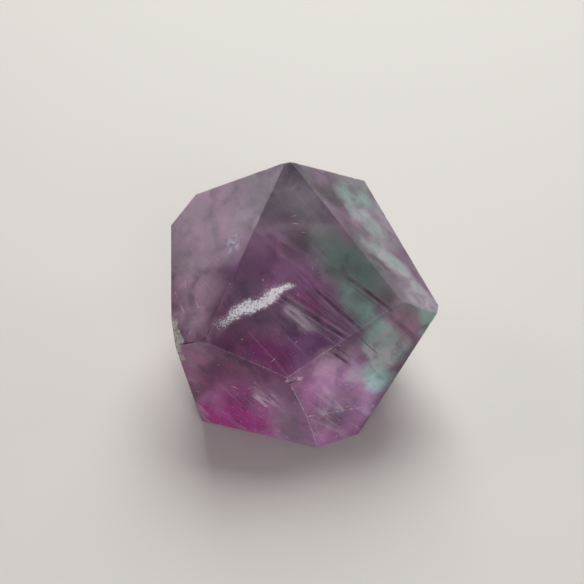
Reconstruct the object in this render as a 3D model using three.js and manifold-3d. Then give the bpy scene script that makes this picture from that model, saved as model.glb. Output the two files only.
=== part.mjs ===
// A polished fluorite polyhedron: one natural stone, ground flat by hand on sixteen sides.
// Millimetres, +Z up. The stone rests on its base facet, which lies in the plane z = 0.
// The origin is on that plane, under the middle of the stone. -Y is its front.

import * as THREE from 'three';
import Module from 'manifold-3d';
import { mergeVertices } from 'three/addons/utils/BufferGeometryUtils.js';

// ---------------------------------------------------------------- driving dimensions

// The rough block that the facets are ground from. It only has to be larger than the stone.
const BLOCK_SIZE = 80;

// The cutting chart. Every facet is a flat ground square to a direction from the heart of the stone:
// turn is the compass direction that the facet faces (0 is +X, 90 is +Y, the back),
// tilt is how far it leans up towards the sky, and reach is its distance from the heart.
const FACETS = [
  { name: 'front table', turn: 275, tilt: 50, reach: 13.9 },
  { name: 'left table', turn: 216, tilt: 53, reach: 19.4 },
  { name: 'right table', turn: 348, tilt: 54, reach: 18.7 },
  { name: 'left brow', turn: 254, tilt: 2, reach: 23.3 },
  { name: 'right brow', turn: 293, tilt: 16, reach: 19.1 },
  { name: 'toe', turn: 292, tilt: 11, reach: 20.7 },
  { name: 'rear slope', turn: 97, tilt: 25, reach: 20.1 },
  { name: 'rear left shoulder', turn: 136, tilt: 11, reach: 27.1 },
  { name: 'rear right shoulder', turn: 26, tilt: 12, reach: 21.8 },
  { name: 'left side', turn: 183, tilt: 0, reach: 27.2 },
  { name: 'left undercut', turn: 187, tilt: -10, reach: 26.9 },
  { name: 'right undercut', turn: 347, tilt: -28, reach: 24.1 },
  { name: 'rear keel', turn: 100, tilt: -28, reach: 23.9 },
  { name: 'rear left keel', turn: 150, tilt: -30, reach: 22.8 },
  { name: 'rear right keel', turn: 42, tilt: -30, reach: 21.2 },
  { name: 'base', turn: 0, tilt: -90, reach: 21.0 },
];

// A patch of natural skin round the left corner, where the wheel never reached the rough crystal.
// It is two bumpy flats, each dipping a few degrees below the facet that it borders.
const SKIN_FLATS = [
  { name: 'skin below the left table', turn: 211, tilt: 40, reach: 23.7 },
  { name: 'skin below the left brow', turn: 242, tilt: 4, reach: 26.5 },
];
const SKIN_WIDTH = 20;
const SKIN_THICKNESS = 8;
const SKIN_STEP = 0.5;

// The corner of the stone that the skin covers, measured from the heart.
const SKIN_CORNER = new THREE.Vector3(-25.7, -16.9, 1.2);

// The bumps of the skin are crossing ripples, each with a heading in degrees and a wavelength.
const RIPPLE_HEIGHT = 0.08;
const RIPPLES = [
  { heading: 15, wavelength: 4.6 },
  { heading: 80, wavelength: 3.4 },
  { heading: 140, wavelength: 2.3 },
  { heading: 50, wavelength: 1.7 },
  { heading: 110, wavelength: 1.3 },
];

// A shell-shaped chip just under the front corner where three facets meet, measured from the heart.
const CHIP_CENTRE = new THREE.Vector3(-1.9, -23.3, -2.1);
const CHIP_HALF_LENGTH = 2.0;
const CHIP_HALF_WIDTH = 0.75;
const CHIP_DEPTH = 0.7;
const CHIP_TURN = 24;

const FLUORITE_COLOUR = new THREE.Color(0.36, 0.25, 0.35);
const FLUORITE_ROUGHNESS = 0.22;

// ---------------------------------------------------------------- solids

const wasm = await Module();
wasm.setup();

// A closed three.js geometry becomes a solid once its shared corners are merged.
function solidOf(geometry) {
  geometry.deleteAttribute('normal');
  geometry.deleteAttribute('uv');
  const merged = mergeVertices(geometry, 1e-4);
  const mesh = new wasm.Mesh({
    numProp: 3,
    vertProperties: new Float32Array(merged.attributes.position.array),
    triVerts: new Uint32Array(merged.index.array),
  });
  return new wasm.Manifold(mesh);
}

// A solid becomes a three.js geometry again. Each triangle keeps its own corners, so facets shade flat.
function geometryOf(solid) {
  const mesh = solid.getMesh();
  const indexed = new THREE.BufferGeometry();
  indexed.setAttribute('position', new THREE.BufferAttribute(new Float32Array(mesh.vertProperties), 3));
  indexed.setIndex(new THREE.BufferAttribute(new Uint32Array(mesh.triVerts), 1));
  const geometry = indexed.toNonIndexed();
  geometry.computeVertexNormals();
  return geometry;
}

// The direction of a turn and a tilt, both in degrees.
function direction(turn, tilt) {
  const level = Math.cos(THREE.MathUtils.degToRad(tilt));
  return new THREE.Vector3(
    level * Math.cos(THREE.MathUtils.degToRad(turn)),
    level * Math.sin(THREE.MathUtils.degToRad(turn)),
    Math.sin(THREE.MathUtils.degToRad(tilt)),
  );
}

// A slab is made with its inner face in the plane z = 0 and its body above it. This turns it
// so that it faces a direction, and sets the middle of its inner face on a point.
function laySlab(geometry, outward, middle) {
  const turned = new THREE.Quaternion().setFromUnitVectors(new THREE.Vector3(0, 0, 1), outward);
  geometry.applyQuaternion(turned);
  geometry.translate(middle.x, middle.y, middle.z);
  return geometry;
}

// What the wheel takes away for one facet: a slab as large as the block.
function groundAway(facet) {
  const slab = new THREE.BoxGeometry(3 * BLOCK_SIZE, 3 * BLOCK_SIZE, 2 * BLOCK_SIZE);
  slab.translate(0, 0, BLOCK_SIZE);
  const outward = direction(facet.turn, facet.tilt);
  return solidOf(laySlab(slab, outward, outward.clone().multiplyScalar(facet.reach)));
}

// Height of the natural skin at one place of its flat.
function skinHeight(x, y) {
  let height = 0;
  for (const [index, ripple] of RIPPLES.entries()) {
    const heading = THREE.MathUtils.degToRad(ripple.heading);
    const along = x * Math.cos(heading) + y * Math.sin(heading);
    height += RIPPLE_HEIGHT * Math.sin((2 * Math.PI * along) / ripple.wavelength + index);
  }
  return height;
}

// What is missing over one flat of the natural skin: a slab whose inner face is bumpy.
// The slab is small, so its middle is the place on the flat that is nearest to the corner.
function missingOverSkin(flat) {
  const steps = Math.round(SKIN_WIDTH / SKIN_STEP);
  const slab = new THREE.BoxGeometry(SKIN_WIDTH, SKIN_WIDTH, SKIN_THICKNESS, steps, steps, 1);
  slab.translate(0, 0, SKIN_THICKNESS / 2);
  const points = slab.attributes.position;
  for (let i = 0; i < points.count; i += 1) {
    if (points.getZ(i) < SKIN_THICKNESS / 2) {
      points.setZ(i, skinHeight(points.getX(i), points.getY(i)));
    }
  }
  const outward = direction(flat.turn, flat.tilt);
  const depth = outward.dot(SKIN_CORNER) - flat.reach;
  const middle = SKIN_CORNER.clone().addScaledVector(outward, -depth);
  return solidOf(laySlab(slab, outward, middle));
}

// The chip is the bite of a small flattened ball, long along the edge above it.
function chippedAway() {
  const bite = new THREE.IcosahedronGeometry(1, 4);
  bite.scale(CHIP_HALF_LENGTH, CHIP_DEPTH, CHIP_HALF_WIDTH);
  bite.rotateZ(THREE.MathUtils.degToRad(CHIP_TURN));
  bite.translate(...CHIP_CENTRE.toArray());
  return solidOf(bite);
}

// ---------------------------------------------------------------- the stone

function makeStone() {
  let stone = solidOf(new THREE.BoxGeometry(BLOCK_SIZE, BLOCK_SIZE, BLOCK_SIZE));
  for (const facet of FACETS) {
    stone = stone.subtract(groundAway(facet));
  }
  for (const flat of SKIN_FLATS) {
    stone = stone.subtract(missingOverSkin(flat));
  }
  stone = stone.subtract(chippedAway());

  const geometry = geometryOf(stone);
  geometry.computeBoundingBox();
  const { min, max } = geometry.boundingBox;
  geometry.translate(-(min.x + max.x) / 2, -(min.y + max.y) / 2, -min.z);

  const material = new THREE.MeshStandardMaterial({
    color: FLUORITE_COLOUR,
    roughness: FLUORITE_ROUGHNESS,
    metalness: 0,
  });
  const mesh = new THREE.Mesh(geometry, material);
  mesh.name = 'fluorite_stone';
  return mesh;
}

const group = new THREE.Group();
group.add(makeStone());

export default group;
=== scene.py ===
# %% [markdown]
# # A polished fluorite polyhedron
#
# The real thing is one lump of banded fluorite, about as long as a thumb, ground flat by hand on many
# sides and polished. Here it is built from a plain block in the order that a stone cutter works:
# grind the facets, wear the edges, leave the natural skin at one corner, then add the knocks of use.
#
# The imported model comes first. It is the fixed frame: its facets say where every polished face lies.

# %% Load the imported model
import math
import random

import bpy
from mathutils import Euler, Matrix, Vector


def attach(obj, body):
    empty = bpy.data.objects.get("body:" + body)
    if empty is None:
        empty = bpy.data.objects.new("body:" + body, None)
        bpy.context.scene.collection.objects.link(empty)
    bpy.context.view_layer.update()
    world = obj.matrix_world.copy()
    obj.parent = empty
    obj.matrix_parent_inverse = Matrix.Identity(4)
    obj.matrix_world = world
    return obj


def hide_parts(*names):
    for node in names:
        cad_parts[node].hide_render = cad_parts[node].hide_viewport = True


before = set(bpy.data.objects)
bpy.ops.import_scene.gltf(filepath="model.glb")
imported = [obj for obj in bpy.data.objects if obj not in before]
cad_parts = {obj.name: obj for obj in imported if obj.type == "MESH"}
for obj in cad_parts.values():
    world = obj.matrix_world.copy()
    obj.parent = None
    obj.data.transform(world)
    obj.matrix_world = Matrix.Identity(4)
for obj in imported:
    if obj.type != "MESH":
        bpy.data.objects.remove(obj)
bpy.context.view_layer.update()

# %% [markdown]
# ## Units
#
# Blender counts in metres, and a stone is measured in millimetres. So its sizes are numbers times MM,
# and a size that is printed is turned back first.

MM = 0.001  # one millimetre, in Blender's metres


# %% [markdown]
# ## Camera
#
# The stone is looked down on from the front at 45 degrees, from about 20 cm away. The distance alone
# gives the perspective, and the lens only sets how much of the picture the stone fills. A camera looks
# along its own -Z, so a turn of 45 degrees about X tips it up from straight down to this.

# %% Place the camera
CAMERA_PLACE = Vector((-2.28, -145.9, 166.29)) * MM
CAMERA_TIP = math.radians(45)
CAMERA_LENS = 60  # on Blender's usual 36 mm sensor
CAMERA_REACH = (10 * MM, 10.0)  # the nearest and the farthest that it sees

bpy.ops.object.camera_add(location=CAMERA_PLACE, rotation=(CAMERA_TIP, 0, 0))
camera = bpy.context.object
camera.name = "camera"
camera.data.lens = CAMERA_LENS
camera.data.clip_start, camera.data.clip_end = CAMERA_REACH
bpy.context.scene.camera = camera
print("the camera is", round(CAMERA_PLACE.length / MM), "mm from the middle of the base")

# %% [markdown]
# ## Floor
#
# The plain pale floor isn't part of the object. A see-through stone shows the floor bent by its
# facets, so the floor reaches far past the picture on every side. It lies a hair below the base,
# because only with air between the two does the base act as a mirror from inside.

# %% Lay the floor
FLOOR_RADIUS = 1.6
FLOOR_SIDES = 96
FLOOR_COLOUR = (0.82, 0.785, 0.745, 1)
FLOOR_ROUGHNESS = 0.6
FLOOR_GAP = 0.1 * MM  # the air under the base


def deselect_everything():
    """Operators work on all that is selected, so every step starts with nothing selected."""
    if bpy.context.object and bpy.context.object.mode != "OBJECT":
        bpy.ops.object.mode_set(mode="OBJECT")
    bpy.ops.object.select_all(action="DESELECT")


def work_on(piece):
    """Select one piece alone, and make it the active one."""
    deselect_everything()
    bpy.context.view_layer.objects.active = piece
    piece.select_set(True)


deselect_everything()
bpy.ops.mesh.primitive_circle_add(
    vertices=FLOOR_SIDES, radius=FLOOR_RADIUS, fill_type="NGON", location=(0, 0, -FLOOR_GAP)
)
floor = bpy.context.object
floor.name = "floor"
floor_finish = bpy.data.materials.new("pale floor")
floor_finish.use_nodes = True
floor_shader = floor_finish.node_tree.nodes["Principled BSDF"]
floor_shader.inputs["Base Color"].default_value = FLOOR_COLOUR
floor_shader.inputs["Roughness"].default_value = FLOOR_ROUGHNESS
floor.data.materials.append(floor_finish)
print("a floor", 2 * FLOOR_RADIUS, "m across")

# %% [markdown]
# ## Light
#
# Clear stones look like their surroundings, so the light decides more here than the material does.
# The base acts as a mirror, and through it the lower facets show what stands behind the stone: a
# large back panel makes them glow, and draws the shadow towards the front. The table, left and right
# panels stand where the three tables mirror them, and lay a grey sheen on them. The light of the high,
# front and side panels goes in at one facet and comes out at another, so it shows the colours inside.
# The sky fills the rest. It is a little pink, bright near the horizon and dark overhead.

# %% Set up the lights
# Height in the sky, from 0 at the horizon to 1 overhead, and how bright it is there.
SKY_GREYS = [(0.0, 0.9), (0.12, 0.35), (0.3, 0.1), (0.5, 0.01)]
SKY_TINT = (1.0, 0.89, 0.96)
LAMPS = [
    # name, compass direction (0 is the back, 90 the right), height in degrees, distance and size
    # in metres, radiance, colour
    ("back panel", 4, 47, 1.5, 1.1, 5.2, (0.985, 1.0, 0.965)),
    ("table panel", 172, 61, 1.15, 0.34, 0.85, (1.0, 0.92, 0.98)),
    ("high panel", 166, 76, 1.3, 0.38, 1.9, (1.0, 0.93, 0.98)),
    ("front panel", 158, 36, 1.2, 0.48, 2.3, (1.0, 0.95, 0.98)),
    ("side panel", 87, 26, 1.2, 0.5, 1.2, (1.0, 0.94, 0.98)),
    ("left panel", -69, 35, 1.04, 0.28, 3.5, (1.0, 0.94, 0.99)),
    ("right panel", 53, 20, 1.04, 0.32, 1.35, (1.0, 0.96, 1.0)),
]


def fill_ramp(node, stops):
    """Give a colour ramp its stops, each a position from 0 to 1 and a colour."""
    elements = node.color_ramp.elements
    while len(elements) > 1:
        elements.remove(elements[-1])
    for index, (position, colour) in enumerate(stops):
        stop = elements[0] if index == 0 else elements.new(position)
        stop.position = position
        stop.color = colour


sky = bpy.data.worlds.new("soft sky")
sky.use_nodes = True
sky_nodes = sky.node_tree.nodes
sky_links = sky.node_tree.links
view_way = sky_nodes.new("ShaderNodeTexCoord")
height = sky_nodes.new("ShaderNodeSeparateXYZ")
sky_ramp = sky_nodes.new("ShaderNodeValToRGB")
fill_ramp(sky_ramp, [(rise, (*(grey * tint for tint in SKY_TINT), 1)) for rise, grey in SKY_GREYS])
sky_links.new(view_way.outputs["Generated"], height.inputs[0])
sky_links.new(height.outputs["Z"], sky_ramp.inputs[0])
sky_links.new(sky_ramp.outputs[0], sky_nodes["Background"].inputs["Color"])
bpy.context.scene.world = sky

for name, compass, height_angle, distance, size, radiance, colour in LAMPS:
    tilt = Euler((math.radians(height_angle), 0, math.radians(-compass)))
    place = tilt.to_matrix() @ Vector((0, distance, 0))
    aim = (-place).to_track_quat("-Z", "Y").to_euler()
    bpy.ops.object.light_add(type="AREA", location=place, rotation=aim)
    lamp = bpy.context.object
    lamp.name = name
    lamp.data.size = size
    lamp.data.energy = radiance * math.pi * size**2  # a panel gives off pi watts a square metre
    lamp.data.color = colour
bpy.context.scene.view_settings.view_transform = "Standard"
print(len(LAMPS), "panels and a sky")

# %% [markdown]
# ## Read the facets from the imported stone
#
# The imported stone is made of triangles. A ground facet is a large patch of them in one plane, while
# those of the natural skin and the chip are small and all differ. So the triangles are sorted into
# planes, and a plane that holds enough area is a facet.

# %% Sort the triangles into facets
SAME_WAY = 0.99999  # cosine between two directions that count as one
SAME_DEPTH = 0.02 * MM
SMALLEST_FACET = 6 * MM * MM

packed_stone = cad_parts["fluorite_stone"]


def facets_of(stone):
    """The direction, depth and area of each plane that the stone was ground to."""
    planes = []
    for face in stone.data.polygons:
        depth = face.normal.dot(face.center)
        for plane in planes:
            if plane[0].dot(face.normal) > SAME_WAY and abs(plane[1] - depth) < SAME_DEPTH:
                plane[2] += face.area
                break
        else:
            planes.append([face.normal.copy(), depth, face.area])
    return [plane for plane in planes if plane[2] > SMALLEST_FACET]


facets = facets_of(packed_stone)
print(len(facets), "ground facets")

# %% [markdown]
# Each facet gets a name by the way it faces: its turn round the stone (0 is +X, 90 is the back) and its
# tilt up from level, in degrees.

# %% Name the facets
FACET_NAMES = {
    "front table": (275, 50),
    "left table": (216, 53),
    "right table": (348, 54),
    "left brow": (254, 2),
    "right brow": (293, 16),
    "toe": (292, 11),
    "rear slope": (97, 25),
    "rear left shoulder": (136, 11),
    "rear right shoulder": (26, 12),
    "left side": (183, 0),
    "left undercut": (187, -10),
    "right undercut": (347, -28),
    "rear keel": (100, -28),
    "rear left keel": (150, -30),
    "rear right keel": (42, -30),
    "base": (0, -90),
}


def direction(turn, tilt):
    """The direction of a turn and a tilt, both in degrees."""
    level = math.cos(math.radians(tilt))
    across = level * math.cos(math.radians(turn))
    back = level * math.sin(math.radians(turn))
    return Vector((across, back, math.sin(math.radians(tilt))))


facet_planes = {}
for name, way in FACET_NAMES.items():
    nearest = max(facets, key=lambda plane: plane[0].dot(direction(*way)))
    facet_planes[name] = (nearest[0], nearest[1])
    print(f"{name:20s} {nearest[1] / MM:6.2f} mm deep {nearest[2] / MM / MM:7.1f} mm2")

# %% [markdown]
# ## Grind the block
#
# A block larger than the stone is cut by one plane after another, as a grinding wheel does it.
# Bisect throws away what is in front of the plane and fills the cut, so the mesh stays closed. A hull
# round the corner points would do too, but this way gives one clean many-sided face for each facet,
# which the edge wear needs later.

# %% Grind the facets
BLOCK_SIZE = 80 * MM
BLOCK_MIDDLE = (0, 0, 21 * MM)
WELD_GAP = 0.01 * MM  # corner points closer than this are one


def grind(place, outward):
    """Take away all of the piece in edit mode that is beyond a plane, and close the cut."""
    bpy.ops.mesh.select_all(action="SELECT")
    bpy.ops.mesh.bisect(plane_co=place, plane_no=outward, use_fill=True, clear_outer=True)


deselect_everything()
bpy.ops.mesh.primitive_cube_add(size=BLOCK_SIZE, location=BLOCK_MIDDLE)
stone = bpy.context.object
stone.name = "fluorite_polyhedron"
bpy.ops.object.transform_apply(location=True, rotation=True, scale=True)
bpy.ops.object.mode_set(mode="EDIT")
for outward, depth in facet_planes.values():
    grind(outward * depth, outward)
bpy.ops.mesh.select_all(action="SELECT")
bpy.ops.mesh.remove_doubles(threshold=WELD_GAP)
bpy.ops.object.mode_set(mode="OBJECT")
print(len(stone.data.polygons), "faces and", len(stone.data.edges), "edges after grinding")

# %% [markdown]
# ## Blunt three corners
#
# A corner wears sooner than an edge. Where the left table, the front table and the left brow meet, it
# is so blunt that the edges seem to curl round it. One shallow cut square to the corner does it, and
# the edge wear makes the cut run into its neighbours.

# %% Blunt the corners
BLUNT_CORNERS = [
    # the three facets that meet, depth of the cut
    (("left table", "front table", "left brow"), 0.3 * MM),
    (("left table", "front table", "rear slope"), 0.22 * MM),
    (("front table", "right table", "rear slope"), 0.15 * MM),
]


def corner_of(names):
    """The point where three named facets meet."""
    rows = Matrix([facet_planes[name][0] for name in names])
    return rows.inverted() @ Vector([facet_planes[name][1] for name in names])


bpy.ops.object.mode_set(mode="EDIT")
for names, depth in BLUNT_CORNERS:
    square_on = sum((facet_planes[name][0] for name in names), Vector()).normalized()
    grind(corner_of(names) - square_on * depth, square_on)
bpy.ops.object.mode_set(mode="OBJECT")
print(len(stone.data.polygons), "faces with the blunt corners")

# %% [markdown]
# ## Remember the sharp edges
#
# The wear, the nicks and the chips all sit on edges, as on the one between the toe and the right brow.
# So each edge is filed under the names of its two facets before it is rounded.

# %% File the edges by name
ON_PLANE = 0.01 * MM


def facets_at(point):
    """The names of the facets that a point lies on."""
    return {
        name
        for name, (outward, depth) in facet_planes.items()
        if abs(outward.dot(point) - depth) < ON_PLANE
    }


sharp_edges = {}
for edge in stone.data.edges:
    start, end = (stone.data.vertices[index].co.copy() for index in edge.vertices)
    pair = frozenset(facets_at(start) & facets_at(end))
    if len(pair) == 2:
        sharp_edges[pair] = (start, end)
longest = max((end - start).length for start, end in sharp_edges.values())
print(len(sharp_edges), "edges; the longest is", round(longest / MM, 1), "mm")

# %% [markdown]
# ## Wear the edges
#
# Use rounds a ground edge by a hair and leaves it matt, and that narrow strip draws the edge as a thin
# pale line, partly the real pallor of the wear and partly a painted highlight. A Bevel modifier does
# it.
# Its width is the same all over, so a bevel weight on each edge scales it: the bottom edges of the left
# brow and the toe, which the stone is set down on, are worn widest, and hand work varies most of the
# others.
#
# Every tool also marks the faces it leaves with a material of its own, so that they can be found again
# afterwards. So the five finishes are made first, still without a look.

# %% Name the finishes
fluorite = bpy.data.materials.new("banded fluorite")
natural_skin = bpy.data.materials.new("natural skin")
worn_edge = bpy.data.materials.new("worn edge")
fresh_break = bpy.data.materials.new("fresh break")
crack_black = bpy.data.materials.new("crack_black")
for finish in (fluorite, worn_edge):
    stone.data.materials.append(finish)
print([finish.name for finish in (fluorite, natural_skin, worn_edge, fresh_break, crack_black)])

# %% Weigh and round the edges
EDGE_WEAR = 1.0 * MM
LEAST_WEAR = 0.13  # share of EDGE_WEAR that every edge has
HAND_WEAR = 0.12  # the most that hand work adds to it
SPECIAL_WEAR = {  # in place of what hand work adds
    ("base", "left brow"): 0.55,
    ("base", "toe"): 0.8,
    ("base", "right undercut"): 0.35,
    ("right brow", "toe"): 0.05,
    ("front table", "left table"): 0.12,
    ("front table", "right table"): 0.12,
    ("right brow", "right table"): 0.12,
}
WEAR_STEPS = 4
WORN_SLOT = 1  # the second material on the stone, the worn edge
WEAR_SEED = 11

wear_chance = random.Random(WEAR_SEED)


def apply_modifier(kind, **settings):
    """Add a modifier to the active piece, set it up and apply it."""
    bpy.ops.object.modifier_add(type=kind)
    modifier = bpy.context.object.modifiers[-1]
    for setting, value in settings.items():
        setattr(modifier, setting, value)
    bpy.ops.object.modifier_apply(modifier=modifier.name)


def add_wear(is_chosen, amount):
    """Add to the bevel weight of the edges that pass a test on their two ends."""
    for part in (*stone.data.vertices, *stone.data.polygons):
        part.select = False
    for edge in stone.data.edges:
        edge.select = is_chosen(*(stone.data.vertices[index].co for index in edge.vertices))
    bpy.ops.object.mode_set(mode="EDIT")
    bpy.ops.mesh.select_mode(type="EDGE")
    bpy.ops.transform.edge_bevelweight(value=amount)
    bpy.ops.object.mode_set(mode="OBJECT")


work_on(stone)
add_wear(lambda start, end: True, LEAST_WEAR)
for pair in sorted(sharp_edges, key=sorted):
    extra = SPECIAL_WEAR.get(tuple(sorted(pair)), wear_chance.uniform(0, HAND_WEAR))
    add_wear(lambda start, end: facets_at(start) & facets_at(end) == pair, extra)
by_weight = {"limit_method": "WEIGHT", "segments": WEAR_STEPS, "material": WORN_SLOT}
apply_modifier("BEVEL", width=EDGE_WEAR, **by_weight)
print(len(stone.data.polygons), "faces after the edges are worn")

# %% [markdown]
# ## Leave the natural skin
#
# At the left corner the wheel left a patch of the rough crystal's grey granular skin. Paint alone would
# stay flat, so what is missing there is modelled as a slab with a bumpy inner face, and taken away
# from the stone. A fine grid is extruded into the slab, and two cloud textures push its inner face up
# and down: broad lumps first, then small grains. The boolean keeps the slab's own material on the
# faces that it cuts, which marks the skin for later.

# %% Tools for shaping and cutting
STONE_HEART = Vector((0.03, 0.16, 21.0)) * MM  # the skin and the chip are placed from here


def enter_edit_mode(piece, selecting="VERT"):
    """Start editing one piece with all of it selected."""
    work_on(piece)
    bpy.ops.object.mode_set(mode="EDIT")
    bpy.ops.mesh.select_mode(type=selecting)
    bpy.ops.mesh.select_all(action="SELECT")


def leave_edit_mode():
    """Turn every face outward, then go back to object mode."""
    bpy.ops.mesh.select_all(action="SELECT")
    bpy.ops.mesh.normals_make_consistent(inside=False)
    bpy.ops.object.mode_set(mode="OBJECT")


def cut_away(cutter):
    """Take the cutter away from the stone. The new faces keep the cutter's material."""
    work_on(stone)
    how = {"operation": "DIFFERENCE", "solver": "EXACT", "material_mode": "TRANSFER"}
    apply_modifier("BOOLEAN", object=cutter, **how)
    bpy.data.objects.remove(cutter)


# %% Cut back to the natural skin
SKIN_CORNER = STONE_HEART + Vector((-25.7, -16.9, 1.2)) * MM
SKIN_FLATS = [(211, 40, 23.7 * MM), (242, 4, 26.5 * MM)]  # turn, tilt, reach from the heart
SKIN_WIDTH = 18 * MM
SKIN_STEPS = 90
SKIN_THICKNESS = 8 * MM
INNER_FACE = "inner face"
SKIN_BUMPS = [(2.2 * MM, 0.5 * MM), (0.55 * MM, 0.28 * MM)]  # size of a bump, depth


def skin_slab(turn, tilt, reach):
    """What is missing over one flat of the natural skin."""
    outward = direction(turn, tilt)
    depth = outward.dot(SKIN_CORNER - STONE_HEART) - reach
    deselect_everything()
    bpy.ops.mesh.primitive_grid_add(
        x_subdivisions=SKIN_STEPS,
        y_subdivisions=SKIN_STEPS,
        size=SKIN_WIDTH,
        location=SKIN_CORNER - outward * depth,
        rotation=outward.to_track_quat("Z", "Y").to_euler(),
    )
    slab = bpy.context.object
    slab.data.materials.append(natural_skin)
    inner = slab.vertex_groups.new(name=INNER_FACE)
    inner.add(range(len(slab.data.vertices)), 1.0, "REPLACE")
    bpy.ops.object.transform_apply(location=True, rotation=True, scale=True)
    enter_edit_mode(slab, "FACE")
    bpy.ops.mesh.extrude_region_move(TRANSFORM_OT_translate={"value": outward * SKIN_THICKNESS})
    bpy.ops.object.vertex_group_set_active(group=INNER_FACE)
    bpy.ops.object.vertex_group_remove_from()
    leave_edit_mode()
    for size, height in SKIN_BUMPS:
        lumps = bpy.data.textures.new("skin lumps", "CLOUDS")
        lumps.noise_scale = size
        lumps.noise_depth = 1
        on_inner_face = {"texture_coords": "LOCAL", "vertex_group": INNER_FACE}
        apply_modifier("DISPLACE", texture=lumps, strength=height, **on_inner_face)
    return slab


for flat in SKIN_FLATS:
    cut_away(skin_slab(*flat))
print(len(stone.data.polygons), "faces with the natural skin")

# %% [markdown]
# ## Knocks of use
#
# Fluorite is soft, so a polished piece soon has small chips along its edges and pits and scratches on
# its faces. Each is the bite of a ball that is stretched to the bite's own length, width and twice its
# depth, and half of it sinks in. These are real hollows, so they catch the light from every side.

# %% Tools for knocks
KNOCK_SEED = 29
NICK_SIZES = (0.45, 1.3)  # the smallest and the largest nick, as shares of the common length
NICK_WIDTH = 0.62  # width and depth of a nick, as shares of its length
NICK_DEPTH = 0.3
NICK_SLIDE = 0.06  # how far a nick may lie off its edge, in millimetres
NICKED_SPAN = (0.04, 0.96)  # the part of an edge that is nicked
PIT_SIZES = (0.5, 1.4)
PIT_DEPTH = 0.35

knock_chance = random.Random(KNOCK_SEED)
bites = []
bite_places = []


def bite(place, along, outward, length, width, depth):
    """One bite: a ball stretched along a line, as wide and deep as told. Close ones are skipped."""
    reach = length / 2
    if any((place - other).length < reach + far for other, far in bite_places):
        return
    bite_places.append((place, reach))
    x_way = along.normalized()
    z_way = (outward - x_way * outward.dot(x_way)).normalized()
    y_way = z_way.cross(x_way)
    turn = Matrix((x_way, y_way, z_way)).transposed().to_euler()
    size = (length, width, 2 * depth)
    bpy.ops.mesh.primitive_ico_sphere_add(
        subdivisions=2, radius=0.5, location=place, rotation=turn, scale=size
    )
    bites.append(bpy.context.object)


def nick_edge(first, second, count, length):
    """Small nicks at random places along the edge between two named facets."""
    start, end = sharp_edges[frozenset((first, second))]
    outward = facet_planes[first][0] + facet_planes[second][0]
    outward.normalize()
    for _ in range(count):
        size = length * knock_chance.uniform(*NICK_SIZES)
        place = start.lerp(end, knock_chance.uniform(*NICKED_SPAN))
        place += Vector([knock_chance.uniform(-NICK_SLIDE, NICK_SLIDE) * MM for _ in range(3)])
        bite(place, end - start, outward, size, NICK_WIDTH * size, NICK_DEPTH * size)


def pit_facet(facet, count, length, stretch=1.0):
    """Pinpoint pits, or scratches if they are stretched, at random places on a facet."""
    outward, _ = facet_planes[facet]
    corners = [point for pair, ends in sharp_edges.items() if facet in pair for point in ends]
    for _ in range(count):
        shares = [knock_chance.random() ** 2 for _ in corners]
        weighted = (corner * share for corner, share in zip(corners, shares))
        place = sum(weighted, Vector()) / sum(shares)
        heading = Vector([knock_chance.uniform(-1, 1) for _ in range(3)]).cross(outward)
        size = length * knock_chance.uniform(*PIT_SIZES)
        bite(place, heading, outward, size * stretch, size, PIT_DEPTH * size)


# %% [markdown]
# A cut for each bite would take long, so a whole batch is joined and taken away in one. Bites that
# touch would spoil such a cut, which is why close ones are skipped. A nick is broken and not ground,
# so its corner points are jolted a little first.

# %% Roughen the bites and take them away
BITE_JITTER = 0.018 * MM
JOLT_SEED = 5


def take_bites(finish, jitter):
    """Join the bites made so far, jolt their points, and cut them from the stone in one go."""
    deselect_everything()
    for piece in bites:
        piece.select_set(True)
    bpy.context.view_layer.objects.active = bites[0]
    if len(bites) > 1:
        bpy.ops.object.join()
    knocks = bpy.context.object
    bpy.ops.object.transform_apply(location=True, rotation=True, scale=True)
    knocks.data.materials.append(finish)
    enter_edit_mode(knocks)
    if jitter:
        bpy.ops.transform.vertex_random(offset=jitter, seed=JOLT_SEED)
    leave_edit_mode()
    bites.clear()
    bite_places.clear()
    cut_away(knocks)


# %% [markdown]
# ## The large chip and the hairline crack
#
# Under the front corner a larger shell-shaped chip has gone in three overlapping flakes, so each flake
# is a cut of its own. Above the skin, a hairline crack runs along the edge between the left table and
# the left brow, and curls up the table. It is cut narrow and deep, with a finish of its own that makes
# its faces near black.

# %% Chip the front corner and open the crack
FLAKES = [
    # place from the heart, turn of its length, then length, height and depth, all in millimetres
    ((-2.9, -23.4, -2.2), 30, 2.2, 1.1, 0.55),
    ((-1.6, -23.1, -2.0), 12, 2.4, 1.2, 0.6),
    ((-0.6, -22.9, -2.4), 40, 1.5, 0.8, 0.45),
]
FLAKE_FACING = Vector((0.25, -1, 0.1))
FLAKE_JITTER = 0.04 * MM
CRACK_WIDTH = 0.24 * MM
CRACK_DEPTH = 0.5 * MM
CURL_WIDTH = 0.12 * MM
CRACK_CURL = [(-20.1, -18.1, 24.9), (-19.1, -17.7, 25.7), (-18.1, -15.9, 27.1)]  # points, in mm

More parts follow.
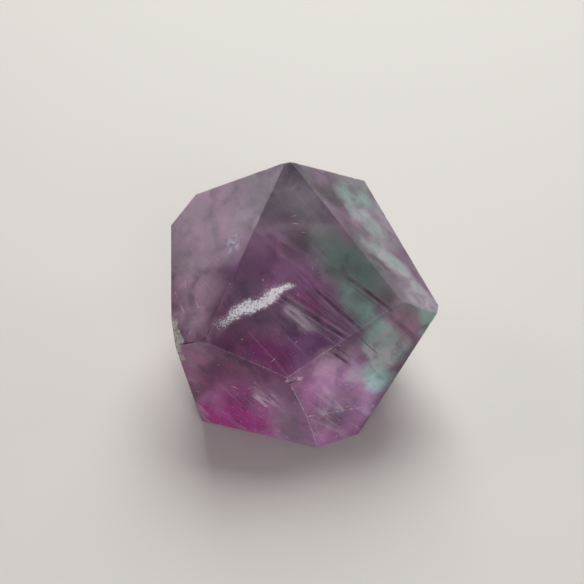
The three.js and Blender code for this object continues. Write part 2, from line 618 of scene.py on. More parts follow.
for spot, turn, *size in FLAKES:
    size = [side * MM for side in size]
    bite(STONE_HEART + Vector(spot) * MM, direction(turn, 0), FLAKE_FACING, *size)
    take_bites(fresh_break, FLAKE_JITTER)
crack_start, crack_end = sharp_edges[frozenset(("left table", "left brow"))]
crack_facing = facet_planes["left table"][0] + facet_planes["left brow"][0]
bite(
    crack_start.lerp(crack_end, 0.5),
    crack_end - crack_start,
    crack_facing,
    (crack_end - crack_start).length,
    CRACK_WIDTH,
    CRACK_DEPTH,
)
take_bites(crack_black, BITE_JITTER)
for start, end in zip(CRACK_CURL, CRACK_CURL[1:]):
    step = (Vector(end) - Vector(start)) * MM
    middle = Vector(start) * MM + step / 2
    bite(middle, step, facet_planes["left table"][0], step.length, CURL_WIDTH, CRACK_DEPTH / 2)
    bite_places.clear()  # the next one starts where this one ends, and isn't to be skipped
take_bites(crack_black, 0)
print(len(stone.data.polygons), "faces after the chip and the crack")

# %% [markdown]
# ## Nicks and pits
#
# Nicks gather on the edges that get knocked: the one between the right brow and the toe has a whole
# row of them. The pits are tiny, and a few on each facet are enough.

# %% Nick the edges and pit the faces
EDGE_NICKS = [
    # two facets, how many, common length in millimetres
    ("right brow", "toe", 16, 0.75),
    ("front table", "left table", 7, 0.4),
    ("front table", "right table", 8, 0.4),
    ("front table", "right brow", 7, 0.4),
    ("front table", "left brow", 6, 0.45),
    ("left table", "left brow", 5, 0.55),
    ("right table", "right brow", 3, 0.4),
    ("left brow", "right brow", 5, 0.5),
    ("left brow", "toe", 3, 0.4),
    ("left brow", "base", 7, 0.6),
    ("toe", "base", 6, 0.6),
    ("right table", "rear right shoulder", 7, 0.75),
    ("right table", "rear slope", 4, 0.6),
    ("left table", "rear slope", 6, 0.5),
    ("left table", "left side", 4, 0.5),
    ("rear slope", "rear keel", 8, 0.6),
    ("rear slope", "rear right shoulder", 6, 0.6),
    ("rear right shoulder", "rear right keel", 6, 0.6),
    ("left undercut", "rear left keel", 5, 0.6),
    ("right undercut", "base", 5, 0.6),
]
FACE_PITS = [
    # facet, how many, common width in millimetres
    ("front table", 14, 0.2),
    ("left table", 10, 0.2),
    ("right table", 7, 0.2),
    ("right brow", 9, 0.2),
    ("left brow", 6, 0.2),
    ("toe", 4, 0.22),
    ("rear slope", 9, 0.22),
    ("rear right shoulder", 5, 0.22),
    ("rear left shoulder", 4, 0.24),
    ("left undercut", 4, 0.24),
    ("right undercut", 5, 0.24),
]

deselect_everything()
for first, second, count, length in EDGE_NICKS:
    nick_edge(first, second, count, length * MM)
for facet, count, length in FACE_PITS:
    pit_facet(facet, count, length * MM)
print(len(bites), "knocks")
take_bites(fresh_break, BITE_JITTER)

# %% [markdown]
# ## Scratches
#
# The scratches that catch the eye are placed one by one, and finer ones are strewn between them by
# chance. They aren't jolted: a jolt as large as their own width would fold them up.

# %% Scratch the faces
FINE_SCRATCHES = {"front table": 10, "left table": 12, "left brow": 4}  # how many on each
FINE_WIDTH = 0.1 * MM
FINE_STRETCH = 12.0  # how many times as long as wide
MARKS = {
    # on each facet: place, turn from level, length, in millimetres and degrees
    "front table": [
        (-3.4, 5.3, 43.6, -37, 0.9),
        (-2.1, 5.6, 43.9, 29, 1.2),
        (-1.9, 1.4, 40.3, 15, 1.3),
        (-1.5, 0.3, 39.3, -11, 1.6),
        (-8.0, -8.6, 32.4, -94, 0.6),
        (-7.3, -9.5, 31.6, 30, 0.7),
        (-1.4, -17.7, 24.3, 41, 0.8),
        (-3.2, 7.9, 45.9, -49, 0.8),
    ],
    "right table": [
        (8.0, 12.1, 40.3, -105, 0.9),
        (9.4, 12.2, 39.2, -54, 1.9),
        (4.0, 11.9, 43.1, -62, 1.8),
        (14.6, -4.8, 33.0, -119, 1.0),
    ],
    "left brow": [
        (-13.8, -20.4, 13.5, -12, 1.7),
        (-21.9, -18.2, 9.5, -2, 0.9),
        (-8.2, -22.1, 10.2, -35, 2.6),
        (-22.7, -17.5, 23.5, 71, 1.2),
    ],
    "left table": [
        (-25.7, -6.9, 26.5, -22, 2.0),
        (-24.3, -10.0, 26.0, -20, 2.2),
        (-25.9, -12.1, 24.0, -12, 2.0),
        (-22.4, -15.4, 24.7, 103, 1.6),
        (-21.1, -10.7, 27.6, -21, 2.2),
        (-23.8, -5.6, 28.2, -31, 1.6),
    ],
    "right brow": [
        (7.1, -17.7, 23.2, -36, 0.8),
        (9.4, -21.3, 8.6, 0, 1.2),
        (-0.3, -22.2, 18.8, -34, 1.0),
        (13.8, -17.6, 14.7, 58, 1.0),
        (4.1, -20.2, 19.3, 10, 1.8),
    ],
}
MARK_WIDTH = 0.26 * MM
MARK_DEPTH = 0.08 * MM


def scratch_facet(facet, spot, turn, length):
    """One scratch on a facet, at the place on it that is nearest to a spot."""
    outward, depth = facet_planes[facet]
    spot -= outward * (outward.dot(spot) - depth)
    level = Vector((0, 0, 1)).cross(outward).normalized()
    uphill = outward.cross(level)
    heading = level * math.cos(math.radians(turn)) + uphill * math.sin(math.radians(turn))
    bite(spot, heading, outward, length, MARK_WIDTH, MARK_DEPTH)


for facet, marks in MARKS.items():
    for *spot, turn, length in marks:
        scratch_facet(facet, Vector(spot) * MM, turn, length * MM)
for facet, count in FINE_SCRATCHES.items():
    pit_facet(facet, count, FINE_WIDTH, FINE_STRETCH)
print(len(bites), "scratches")
take_bites(fresh_break, 0)
print(len(stone.data.polygons), "faces after the scratches")

# %% [markdown]
# ## Sort the faces by finish
#
# Only the natural skin keeps a material of its own. The other four are all fluorite: polished, worn,
# freshly broken or blackened in the crack. How matt and how black each face is goes into two attributes
# that the fluorite's material reads, and the materials that only marked faces go.

# %% Note how matt and how dirty each face is
MATT_FINISHES = {worn_edge.name: 0.32, fresh_break.name: 1.0}

names = [slot.material.name for slot in stone.material_slots]
finishes = [names[face.material_index] for face in stone.data.polygons]
stone.data.materials.clear()
for finish in (fluorite, natural_skin):
    stone.data.materials.append(finish)
matt = stone.data.attributes.new("matt", "FLOAT", "FACE")
blackened = stone.data.attributes.new("blackened", "FLOAT", "FACE")
for index, finish in enumerate(finishes):
    stone.data.polygons[index].material_index = int(finish == natural_skin.name)
    matt.data[index].value = MATT_FINISHES.get(finish, 0.0)
    blackened.data[index].value = float(finish == crack_black.name)
print({name: finishes.count(name) for name in names})

# %% [markdown]
# ## Smooth the worn edges, keep the facets flat
#
# Shading by angle makes the strips of a worn edge look like one round. The Weighted Normal modifier
# keeps each facet flat right up to it: it lets the largest face at a corner decide which way the
# surface seems to point there.

# %% Shade the stone
ROUND_ANGLE = math.radians(26)

bpy.ops.object.shade_smooth_by_angle(angle=ROUND_ANGLE)
apply_modifier("WEIGHTED_NORMAL", keep_sharp=True)
print(len(stone.modifiers), "modifiers left on the stone")

# %% [markdown]
# ## Banded fluorite: a frame for its layers
#
# Fluorite grows layer on layer, each in its own colour, and a cut through the crystal shows them as
# bands. So the colours aren't painted on the faces: they are worked out from where a point lies inside
# the crystal, and every band runs round the corners and meets itself on the far side. Three directions
# make the crystal's own frame: across the layers, along them to the lower right of the front, and
# through the stone, away from the camera.
#
# The borders of colour in a crystal wander. So there are two readings of a place: the true one, and a
# loose one that a slow noise has nudged, for the slow colours.

# %% Start the recipe of the fluorite
ACROSS = Vector((0.66, 0.505, 0.557)).normalized()
THROUGH = Vector((0, 1, -1))
THROUGH = (THROUGH - ACROSS * THROUGH.dot(ACROSS)).normalized()
ALONG = THROUGH.cross(ACROSS)

fluorite.use_nodes = True
recipe = fluorite.node_tree
fluorite_shader = recipe.nodes["Principled BSDF"]


def fill(socket, plug):
    """Fill an input of a node: an output of another node is wired to it, a value is set."""
    if isinstance(plug, bpy.types.NodeSocket):
        recipe.links.new(plug, socket)
    elif plug is not None:
        socket.default_value = plug


def set_up(node, plugs):
    """Fill some of a node's own inputs, by their names."""
    for name, plug in plugs.items():
        fill(node.inputs[name], plug)
    return node


def add_node(kind, *plugs, **settings):
    """Add a node to the recipe, with its settings, and fill its inputs in order."""
    node = recipe.nodes.new("ShaderNode" + kind)
    for setting, value in settings.items():
        setattr(node, setting, value)
    for socket, plug in zip(node.inputs, plugs):
        fill(socket, plug)
    return node


def sum_up(operation, *plugs):
    """One step of arithmetic, named as Blender's Math node names it."""
    return add_node("Math", *plugs, operation=operation).outputs[0]


def times(first, second):
    """Two values multiplied."""
    return sum_up("MULTIPLY", first, second)


def rescale(value, low, high, new_low=0.0, new_high=1.0, smooth=True):
    """Fade from one number to another as a value goes from low to high."""
    kind = "SMOOTHSTEP" if smooth else "LINEAR"
    return add_node(
        "MapRange", value, low, high, new_low, new_high, interpolation_type=kind
    ).outputs[0]


def component(place, way):
    """How far a place lies along a direction."""
    return add_node("VectorMath", place, way, operation="DOT_PRODUCT").outputs["Value"]


def noise(place, size, detail=2.0, rough=0.5, swirl=0.0):
    """Cloudy noise with lumps of about a size, in millimetres."""
    values = {"Scale": 1 / size, "Detail": detail, "Roughness": rough, "Distortion": swirl}
    return set_up(add_node("TexNoise", place), values)


def mottle(place, size, low, high, weakest=0.0, strongest=1.0, **character):
    """Blots: weakest where the noise is under low, strongest where it is over high."""
    return rescale(noise(place, size, **character).outputs[0], low, high, weakest, strongest)


def scaled(place, factor):
    """A place, scaled about the middle of the base."""
    return set_up(add_node("VectorMath", place, operation="SCALE"), {"Scale": factor}).outputs[0]


def place_in_mm():
    """Where a point of the stone lies, in millimetres from the middle of the base."""
    return scaled(add_node("TexCoord").outputs["Object"], 1 / MM)


# %% Take the true and the loose place
WANDER_SIZE = 9.0  # in millimetres, as every size in these recipes is
WANDER = 4.2  # the farthest that a border is nudged
NOISE_MEAN = (0.5, 0.5, 0.5)

place = place_in_mm()
drift = noise(place, WANDER_SIZE, 3.0).outputs["Color"]
drift = add_node("VectorMath", drift, NOISE_MEAN, operation="SUBTRACT").outputs[0]
nudged = add_node("VectorMath", place, scaled(drift, 2 * WANDER), operation="ADD").outputs[0]
across, along, through = (component(place, way) for way in (ACROSS, ALONG, THROUGH))
loose_across, loose_along = (component(nudged, way) for way in (ACROSS, ALONG))
print("the layers rise towards", [round(share, 2) for share in ACROSS])

# %% [markdown]
# ## Banded fluorite: the slow colours
#
# The stone goes from magenta at its lower left corner through violet to green and pale grey-green at
# its right. A colour ramp across the layers gives the ground colours. Where a layer changes colour
# along its own length, as the green ones do, a cloud is laid over the ramp: a soft-edged oval that
# runs right through the stone. A few pale clouds on the tables are partly a painted sheen.

# %% Lay the slow colours
MAGENTA = (0.13, 0.002, 0.055, 1)
ROSE = (0.64, 0.2, 0.45, 1)
PINK = (0.88, 0.64, 0.77, 1)
SHADE = (0.085, 0.04, 0.07, 1)
HOT_PINK = (0.55, 0.03, 0.32, 1)
CERISE = (0.36, 0.05, 0.22, 1)
WINE = (0.18, 0.007, 0.095, 1)
DUSK = (0.1, 0.03, 0.08, 1)
PLUM = (0.24, 0.045, 0.17, 1)
VIOLET = (0.31, 0.12, 0.295, 1)
DEEP_VIOLET = (0.15, 0.022, 0.145, 1)
INDIGO = (0.1, 0.012, 0.1, 1)
INK = (0.04, 0.004, 0.045, 1)
LILAC = (0.56, 0.32, 0.47, 1)
THISTLE = (0.66, 0.4, 0.56, 1)
GREY = (0.34, 0.31, 0.35, 1)
SMOKE = (0.5, 0.5, 0.53, 1)
SLATE = (0.26, 0.3, 0.28, 1)
GREEN = (0.12, 0.26, 0.21, 1)
TEAL = (0.3, 0.72, 0.55, 1)
BRIGHT_GREEN = (0.52, 1.0, 0.8, 1)
PALE_GREEN = (0.73, 0.97, 0.86, 1)
PEARL = (0.9, 0.95, 0.95, 1)
MILKY = (0.84, 0.77, 0.84, 1)

LAYERS = {  # place across the layers in millimetres, and colour
    -20: MAGENTA, -13: VIOLET, -8: PLUM, -2: PLUM, 3: VIOLET, 9: VIOLET, 15: VIOLET, 22: GREY,
    # 36: SMOKE, at the top of the right table, is partly a painted sheen.
    30: VIOLET, 36: SMOKE,
}
CLOUDS = [
    # colour, middle across and along, half size across and along, strength
    (ROSE, -14, -16, 5.5, 6.5, 0.9),
    (PINK, -7, -23, 4.5, 4.5, 0.9),
    (PINK, -1, -26.5, 5.5, 5.5, 0.8),
    (PLUM, -9, -8, 5, 5.5, 0.9),
    (WINE, -12.5, -5, 5, 5.5, 0.9),
    (CERISE, -12.5, -11.5, 4, 4.5, 0.9),
    (PLUM, -11, 1, 4, 4.5, 0.7),
    (DUSK, -9.5, -1.5, 4, 4.5, 0.7),
    (DUSK, -6, 2, 4.5, 5, 0.9),
    (SHADE, -11.5, 7, 4.5, 6, 1),
    (MAGENTA, -16, -2, 5.5, 8, 1),
    (DUSK, -3.5, 12, 6, 6, 1),
    (THISTLE, 11, -34, 8, 9, 0.8),
    (GREY, 16, -28, 5, 4, 0.7),
    # This smoke grey cloud, at the top of the front table, is partly a painted sheen.
    (SMOKE, 26.5, -23.5, 5, 6, 0.9),
    (SLATE, 30.5, -28, 3.6, 4.5, 0.9),
    (DEEP_VIOLET, 9, -19.5, 4.5, 4.5, 0.8),
    (SHADE, 18.2, -16.2, 3.4, 3.8, 0.9),
    (SHADE, 21.6, 4, 1.4, 2.6, 0.7),
    (DEEP_VIOLET, 3.5, -3.5, 5.5, 4.5, 0.9),
    (INDIGO, 7.2, -0.4, 3.8, 2.8, 0.9),
    (WINE, -1.6, -7, 3.4, 5, 1),
    (HOT_PINK, 10.9, -6, 1.5, 4, 0.7),
    # This pink cloud lies under the painted haze, and is partly the same painted highlight.
    (PINK, 7.2, -7.3, 1.9, 3.4, 0.7),
    (DEEP_VIOLET, 6.9, 0.5, 2, 2.6, 0.35),
    (PINK, -8.2, -21, 3, 3, 0.4),
    (GREEN, 21, -6, 4.6, 9.5, 0.95),
    (TEAL, 16.8, 1.5, 2.6, 5, 0.75),
    (LILAC, 4.4, 3.2, 3.4, 3, 0.7),
    (LILAC, 10, 5, 2.6, 3.2, 0.6),
    (BRIGHT_GREEN, 15, 8.5, 3.6, 3.6, 1),
    (BRIGHT_GREEN, 9, 13, 3.2, 3.4, 1),
    (PALE_GREEN, 12.3, 11.6, 2.4, 2.4, 0.8),
    (PALE_GREEN, 15.5, 12.8, 2.8, 2.6, 0.9),
    (PALE_GREEN, 14, 9.3, 2.6, 2.4, 0.6),
    (PALE_GREEN, 21.6, 13, 1.8, 2.2, 0.8),
    (GREY, 6.3, 10, 2.4, 2.4, 0.8),
    (LILAC, 19.5, 10.5, 2.8, 3.5, 0.95),
    (BRIGHT_GREEN, 24, 13, 2.8, 3.2, 1),
    (SHADE, 30.3, -18.5, 2.2, 6, 1),
    (SHADE, 27.4, -9, 1.5, 7, 0.9),
    (SHADE, 25, -1, 0.9, 4, 0.8),
    # These three clouds make the pale green streak on the right table: partly a green layer, partly a
    # painted sheen.
    (BRIGHT_GREEN, 33.3, -14.5, 2.6, 3.6, 0.8),
    (PALE_GREEN, 31, -8, 1.8, 5.5, 0.8),
    (PALE_GREEN, 27.9, -0.5, 2, 8.5, 1),
    (PEARL, 26.6, 7.5, 2.4, 6, 0.9),
]
CLOUD_HEART = 0.35  # share of a cloud that has its full strength

first, last = min(LAYERS), max(LAYERS)
ramp = add_node("ValToRGB", rescale(loose_across, first, last, smooth=False))
fill_ramp(ramp, [((where - first) / (last - first), colour) for where, colour in LAYERS.items()])


def lay_over(under, over, share, blend="MIX"):
    """Lay a colour over another, by a share from 0 to 1. Colours are the last two of 8 inputs."""
    plugs = (share, *[None] * 5, under, over)
    mix = add_node("Mix", *plugs, data_type="RGBA", blend_type=blend, clamp_result=True)
    return mix.outputs[2]


def offsets(oval):
    """How far a point lies from the middle of an oval, across and along, in half sizes of it."""
    ways = zip((loose_across, loose_along), oval[:2], oval[2:])
    return [sum_up("DIVIDE", sum_up("SUBTRACT", way, mid), half) for way, mid, half in ways]


def cloud(oval):
    """How deep a point is inside a soft oval: 1 in its heart, 0 outside."""
    squares = sum_up("ADD", *(times(way, way) for way in offsets(oval)))
    return rescale(sum_up("SQRT", squares), CLOUD_HEART, 1.0 + CLOUD_HEART, 1.0, 0.0)


body_colour = ramp.outputs[0]
for colour, *oval, strength in CLOUDS:
    body_colour = lay_over(body_colour, colour, times(cloud(oval), strength))
print(len(LAYERS), "layers and", len(CLOUDS), "clouds of colour")

# %% [markdown]
# ## Banded fluorite: the thin bands
#
# Over the slow colours lie thin dark planes and a few thin pale ones, where the growth ran darker or
# clearer for a while. A band has its own place across the layers and two ends along them, and some
# lean a little. One noise makes them waver by a hair and another makes them patchy, because a
# perfectly even line looks drawn.

# %% Draw the thin bands
BANDS = [
    # colour, place across the layers, lean, where it starts and ends along them, half width, strength
    (INK, 9, 0.12, -13, 2.5, 0.2, 0.6),
    (INK, 10.2, 0.15, -12.5, 2.8, 0.58, 1),
    (INK, 11.5, 0.13, -11, 2.5, 0.22, 0.8),
    (INK, 12.4, 0.05, -9.5, 3, 0.16, 0.7),
    (INK, 13.8, 0, -8.5, 3.8, 0.5, 1),
    (INK, 14.6, 0, -7, 3.5, 0.14, 0.6),
    (INK, 19.2, 0.07, -3, 5.5, 0.16, 0.6),
    (INK, 20.2, 0.07, -7, 6.2, 0.55, 1),
    (INK, 6.6, 0.05, 2, 6.8, 0.45, 0.95),
    (INK, 7.8, 0.05, 2.4, 6, 0.3, 0.85),
    (INK, 12.7, -0.05, 4.2, 10, 0.18, 0.7),
    (DEEP_VIOLET, 19.6, 0, 5.8, 13.5, 0.8, 0.65),
    (MILKY, 2.7, -0.1, -11.5, -1.5, 0.14, 0.1),
    (MILKY, -2.3, -0.1, -12.5, -2.5, 0.16, 0.08),
    (MILKY, 8.2, 0.12, -12, 2, 0.16, 0.35),
    (MILKY, 9.6, 0.15, -12, 2.5, 0.12, 0.55),
    (MILKY, 10.9, 0.14, -10, 2.5, 0.12, 0.55),
    (MILKY, 13.2, 0, -8, 3.4, 0.12, 0.5),
]
BAND_HEART = 0.3  # share of a band's half width that has its full strength
BAND_FRAY = 1.2  # how softly a band ends
BAND_WAVER = 0.25
WAVER_SIZE = 5.0
PATCHES = dict(size=3.0, low=0.32, high=0.55, weakest=0.5)

waver = sum_up("SUBTRACT", noise(place, WAVER_SIZE).outputs[0], NOISE_MEAN[0])
band_place = sum_up("ADD", across, times(waver, 2 * BAND_WAVER))
patchy = mottle(place, **PATCHES)


def between(value, start, end):
    """1 between a start and an end, fading out past them."""
    risen = rescale(value, start - BAND_FRAY, start + BAND_FRAY)
    return times(risen, rescale(value, end - BAND_FRAY, end + BAND_FRAY, 1.0, 0.0))


for colour, middle, lean, start, end, half_width, strength in BANDS:
    gap = sum_up("SUBTRACT", band_place, sum_up("MULTIPLY_ADD", along, lean, middle))
    gap = sum_up("ABSOLUTE", gap)
    line = rescale(gap, BAND_HEART * half_width, half_width, strength, 0.0)
    share = times(line, between(along, start, end))
    body_colour = lay_over(body_colour, colour, times(share, patchy))
print(len(BANDS), "bands")

# %% [markdown]
# ## Banded fluorite: stripes, wisps and shades
#
# Between the bands runs a striping too fine to place by hand. The place is squeezed along and through
# the layers before the noise is read, so its lumps grow long in the layer and stay thin across it.
# Wisps and a feathered patch near the lower left are made the same way. Puffs and shades are clouds of
# noise that multiply the colour, so they brighten and darken it and nearly keep its hue.

# %% Draw the striping, the wisps and the shades
ALONG_SQUEEZE = 0.12
THROUGH_SQUEEZE = 0.2
STRIPES = dict(size=0.5, low=0.45, high=0.6, detail=3.0, rough=0.6)
STRIPED_ACROSS = (5.0, 15.0)
STRIPED_ALONG = (-13.0, 3.0)
STRIPE_STRENGTHS = (0.12, 0.55)  # outside the striped part and inside it
WISPS = dict(size=2.4, low=0.52, high=0.74, strongest=0.16, detail=4.0, rough=0.62, swirl=0.6)
FEATHERED = (-9.8, -0.8, 2.0, 3.6)  # middle and half size of the patch, across and along
FEATHERS = dict(size=0.9, low=0.5, high=0.62, strongest=0.3, detail=3.0)
PUFF = (1.45, 1.4, 1.45, 1)  # over 1 brightens
PUFFS = dict(size=4.6, low=0.45, high=0.72, detail=2.5, swirl=0.4)
GLOOM = (0.5, 0.42, 0.52, 1)
SHADES = dict(size=4.0, low=0.45, high=0.72, detail=3.0, swirl=0.3)

squeezed_along = times(along, ALONG_SQUEEZE)
squeezed_through = times(through, THROUGH_SQUEEZE)
squeezed = add_node("CombineXYZ", across, squeezed_along, squeezed_through).outputs[0]
stripes = mottle(squeezed, **STRIPES)
striped = times(between(across, *STRIPED_ACROSS), between(along, *STRIPED_ALONG))
striped = rescale(striped, 0.0, 1.0, *STRIPE_STRENGTHS)
feathers = times(cloud(FEATHERED), mottle(squeezed, **FEATHERS))
body_colour = lay_over(body_colour, DEEP_VIOLET, times(stripes, striped))
body_colour = lay_over(body_colour, MILKY, mottle(squeezed, **WISPS))
body_colour = lay_over(body_colour, MILKY, feathers)
body_colour = lay_over(body_colour, PUFF, mottle(place, **PUFFS), "MULTIPLY")
body_colour = lay_over(body_colour, GLOOM, mottle(place, **SHADES), "MULTIPLY")
print("striped from", *STRIPED_ACROSS, "to", *STRIPED_ALONG)

# %% [markdown]
# Crystal is full of specks. Only the peaks of a fine noise are kept, so they stay small and few.

# %% Strew the specks
PALE_SPECKS = dict(size=0.32, low=0.7, high=0.77, strongest=0.3, detail=1.0)
DARK_SPECKS = dict(size=0.512, low=0.66, high=0.74, strongest=0.35)

body_colour = lay_over(body_colour, MILKY, mottle(place, **PALE_SPECKS))
body_colour = lay_over(body_colour, DEEP_VIOLET, mottle(place, **DARK_SPECKS))
print("specks of", PALE_SPECKS["size"], "and", DARK_SPECKS["size"], "mm")

# %% [markdown]
# ## Painted highlights: the silvery streak, its haze and the flash
#
# The streak is a painted highlight: a curved silvery streak just under the front table, painted into
# the stone's colour where a highlight lies. It is made of grains that crowd together in its middle and
# thin out at its rim, and it is metallic as well as pale, so it also mirrors the lamps. Beside it lies
# a painted haze of the same kind, a blurred highlight broken up by the stripes. Under the left table a
# small pale blue patch is a painted flash, the glint of a small crack.

# %% Draw the painted highlight and its haze
NEAR_FRONT = (-26.0, -24.0)  # through the stone: all of it lies in front, all of it behind
HIGHLIGHT_CURVE = (-16.5, 0.237, 0.0175)  # its place along the layers, by powers of its place across them
HIGHLIGHT_ENDS = (-7.5, 12.5)
HIGHLIGHT_FADES = (8.0, 2.0)  # how far it takes to begin and to end
HIGHLIGHT_HALF_WIDTHS = (2.3, 1.0)  # at its two ends
HIGHLIGHT_RIM = (0.2, 1.25)  # in half widths: full strength inside, none outside
HIGHLIGHT_GRAIN_NOISE = dict(size=0.34, detail=2.0, rough=0.7)
HIGHLIGHT_CROWDING = 0.29
HIGHLIGHT_GRAINS = dict(low=0.6, high=0.8, new_low=0.1)
HAZY_HIGHLIGHT = (6.9, -7.1, 1.6, 3.2)  # middle and half size, across and along
HAZY_HIGHLIGHT_STRENGTH = 0.45
HIGHLIGHT_SILVER = (0.93, 0.96, 0.98, 1)

near_front = rescale(through, *NEAR_FRONT, 1.0, 0.0)
bend = sum_up("MULTIPLY_ADD", across, HIGHLIGHT_CURVE[2], HIGHLIGHT_CURVE[1])
highlight_middle = sum_up("MULTIPLY_ADD", across, bend, HIGHLIGHT_CURVE[0])
highlight_width = rescale(across, *HIGHLIGHT_ENDS, *HIGHLIGHT_HALF_WIDTHS, smooth=False)
off_highlight = sum_up("ABSOLUTE", sum_up("SUBTRACT", loose_along, highlight_middle))
in_highlight = rescale(sum_up("DIVIDE", off_highlight, highlight_width), *HIGHLIGHT_RIM, 1.0, 0.0)
highlight_start = rescale(across, HIGHLIGHT_ENDS[0], HIGHLIGHT_ENDS[0] + HIGHLIGHT_FADES[0])
highlight_stop = rescale(across, HIGHLIGHT_ENDS[1] - HIGHLIGHT_FADES[1], HIGHLIGHT_ENDS[1], 1.0, 0.0)
for limit in (near_front, highlight_start, highlight_stop):
    in_highlight = times(in_highlight, limit)
crowded = sum_up("MULTIPLY_ADD", in_highlight, HIGHLIGHT_CROWDING, noise(place, **HIGHLIGHT_GRAIN_NOISE).outputs[0])
painted_highlight = times(rescale(in_highlight, 0.0, 0.3), rescale(crowded, **HIGHLIGHT_GRAINS))
hazy_highlight = times(cloud(HAZY_HIGHLIGHT), times(near_front, stripes))
painted_highlight = sum_up("MAXIMUM", painted_highlight, times(hazy_highlight, HAZY_HIGHLIGHT_STRENGTH))
# Painted highlight: the streak and its haze are painted pale silver into the colour of the stone.
body_colour = lay_over(body_colour, HIGHLIGHT_SILVER, painted_highlight)
print("the veil is", HIGHLIGHT_ENDS[1] - HIGHLIGHT_ENDS[0], "mm long across the layers")

# %% Add the painted flash
FLASHING = (10.8, -26.0, 2.6, 2.2)  # middle and half size, across and along
FLASH_RIM = (0.4, 1.2)
FLASH_BLOTS = dict(size=0.8, low=0.4, high=0.6, detail=3.0)
PALE_BLUE = (0.7, 0.86, 0.95, 1)

# Adding the two offsets as they are, not their squares, makes a lozenge in place of an oval.
off_painted_flash = sum_up("ADD", *(sum_up("ABSOLUTE", way) for way in offsets(FLASHING)))
painted_flash = times(rescale(off_painted_flash, *FLASH_RIM, 1.0, 0.0), near_front)
painted_flash = times(painted_flash, mottle(place, **FLASH_BLOTS))
# Painted glint: the pale blue flash of a small crack is painted into the colour.
body_colour = lay_over(body_colour, PALE_BLUE, painted_flash)
print("the flash is", 2 * FLASHING[2], "by", 2 * FLASHING[3], "mm")

# %% [markdown]
# ## Colour and polish
#
# The body's colour shows wherever the stone is polished. A worn edge or a fresh break is splintered: it
# is whitish, partly from its real frosting and partly as a painted highlight, a little rougher, and
# some of its splinters mirror light. The faces of the crack are near black over all that. The hand
# polish is smooth enough to shine and rough enough to scatter what is seen through the stone, and it
# varies a little from place to place.

# %% Feed the colour and the polish
PALE_WEAR_AND_HIGHLIGHT = (0.93, 0.88, 0.92, 1)
WEAR_AND_HIGHLIGHT_STRENGTH = 0.85
MATT_ROUGHNESS = 0.15  # what it adds to the polish
MATT_SPARKLE = 0.55
SPLINTERS = dict(size=0.6, low=0.4, high=0.6, weakest=0.15)
POLISH = 0.285
POLISH_BLOTS = dict(
    size=3.0, low=0.35, high=0.7, weakest=POLISH, strongest=1.15 * POLISH, detail=4.0, rough=0.6
)

matt_share = add_node("Attribute", attribute_name="matt").outputs["Fac"]
black_share = add_node("Attribute", attribute_name="blackened").outputs["Fac"]
splintered = times(matt_share, mottle(place, **SPLINTERS))
# The pale of worn edges and breaks is partly real frosting and partly a painted highlight.
pale_wear_and_highlight = times(splintered, WEAR_AND_HIGHLIGHT_STRENGTH)
finished_colour = lay_over(lay_over(body_colour, PALE_WEAR_AND_HIGHLIGHT, pale_wear_and_highlight), INK, black_share)
roughness = sum_up("MULTIPLY_ADD", matt_share, MATT_ROUGHNESS, mottle(place, **POLISH_BLOTS))
# The painted highlight is metallic too, so it also mirrors the lamps.
sparkle = sum_up("MAXIMUM", painted_highlight, times(splintered, MATT_SPARKLE))
surface = {"Base Color": finished_colour, "Metallic": sparkle, "Roughness": roughness}
set_up(fluorite_shader, surface)
print("polish", POLISH, "and matt", round(POLISH + MATT_ROUGHNESS, 3))

# %% [markdown]
# Hand polishing leaves hairlines, far too fine to cut. They are bump: noise that is stretched long two
# ways and kept thin the third tips the surface by a hair, and the highlights break up along it.

# %% Add the hairlines of the polish
# Three directions, and the size of the noise along each.
HAIRLINE_WAYS = [((0.8, -0.3, 0.5), 0.22), ((0.3, 0.9, 0.1), 5.0), ((-0.5, 0.1, 0.8), 5.0)]
HAIRLINE_BUMP = {"Strength": 0.5, "Distance": 0.004 * MM}

stretched = (sum_up("DIVIDE", component(place, way), size) for way, size in HAIRLINE_WAYS)
hairlines = noise(add_node("CombineXYZ", *stretched).outputs[0], 1.0, rough=0.6)
bump = set_up(add_node("Bump"), {"Height": hairlines.outputs[0], **HAIRLINE_BUMP})
set_up(fluorite_shader, {"Normal": bump.outputs[0]})
print("hairlines", HAIRLINE_WAYS[0][1], "mm apart")

# %% [markdown]
# ## Light through the stone
#
# Fluorite bends light less than most crystals. Two thirds of the light goes straight through. The rest
# wanders under the surface and comes out close by, which gives the milky depth between the clear
# parts. A thin clear coat makes the polish shine, and the volume swallows a little light on its way,
# so thick parts are darker than thin ones.

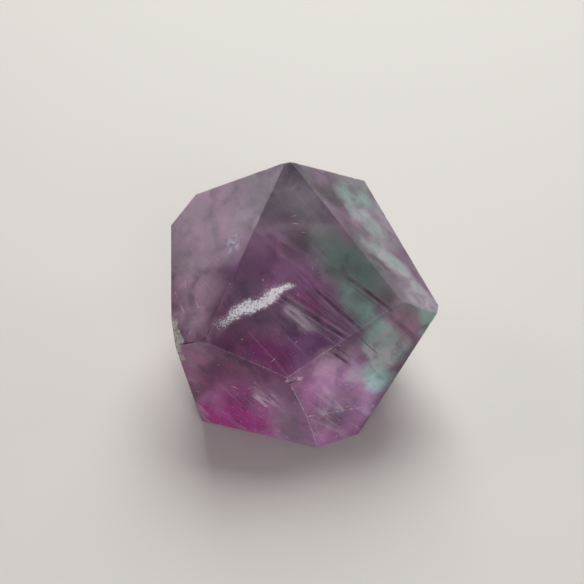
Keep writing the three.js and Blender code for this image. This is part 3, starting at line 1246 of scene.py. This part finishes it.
# %% Let light through
FLUORITE_IOR = 1.434
BODY_LIGHT = {
    "IOR": FLUORITE_IOR,
    "Transmission Weight": 0.66,
    "Subsurface Weight": 1.0,
    "Subsurface Radius": (1.0, 0.8, 1.0),
    "Subsurface Scale": 2 * MM,
    "Coat Weight": 0.6,
    "Coat Roughness": 0.05,
    "Coat IOR": FLUORITE_IOR,
}
BODY_ABSORPTION = {"Color": (0.8, 0.76, 0.8, 1), "Density": 12.0}

set_up(fluorite_shader, BODY_LIGHT)
body = set_up(add_node("VolumeAbsorption"), BODY_ABSORPTION)
set_up(recipe.nodes["Material Output"], {"Volume": body.outputs[0]})
print(len(recipe.nodes), "nodes in the recipe of the fluorite")

# %% [markdown]
# ## Natural skin
#
# The skin is dull and granular, grey with a breath of beige and olive, and no light gets through it.
# Two noises give the grains: a fine pale one, and a sparser dark one. The helpers above add nodes to
# whatever "recipe" is, so that name is given to the skin's own first.

# %% Make the natural skin
SKIN_GREY = (0.4, 0.37, 0.33, 1)
SKIN_PALE = (0.66, 0.64, 0.6, 1)
SKIN_OLIVE = (0.2, 0.2, 0.13, 1)
PALE_GRAINS = dict(size=0.35, low=0.4, high=0.62)
OLIVE_GRAINS = dict(size=0.6, low=0.6, high=0.7, strongest=0.8)
SKIN_ROUGHNESS = 0.7

natural_skin.use_nodes = True
recipe = natural_skin.node_tree
skin_shader = recipe.nodes["Principled BSDF"]
skin_place = place_in_mm()
skin_colour = lay_over(SKIN_GREY, SKIN_PALE, mottle(skin_place, **PALE_GRAINS))
skin_colour = lay_over(skin_colour, SKIN_OLIVE, mottle(skin_place, **OLIVE_GRAINS))
set_up(skin_shader, {"Base Color": skin_colour, "Roughness": SKIN_ROUGHNESS})
print(len(recipe.nodes), "nodes in the recipe of the skin")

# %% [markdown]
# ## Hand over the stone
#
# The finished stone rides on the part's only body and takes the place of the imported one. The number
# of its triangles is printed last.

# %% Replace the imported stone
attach(stone, "root")
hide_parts("fluorite_stone")
triangles = sum(len(face.vertices) - 2 for face in stone.data.polygons)
print(stone.name, "has", triangles, "triangles")
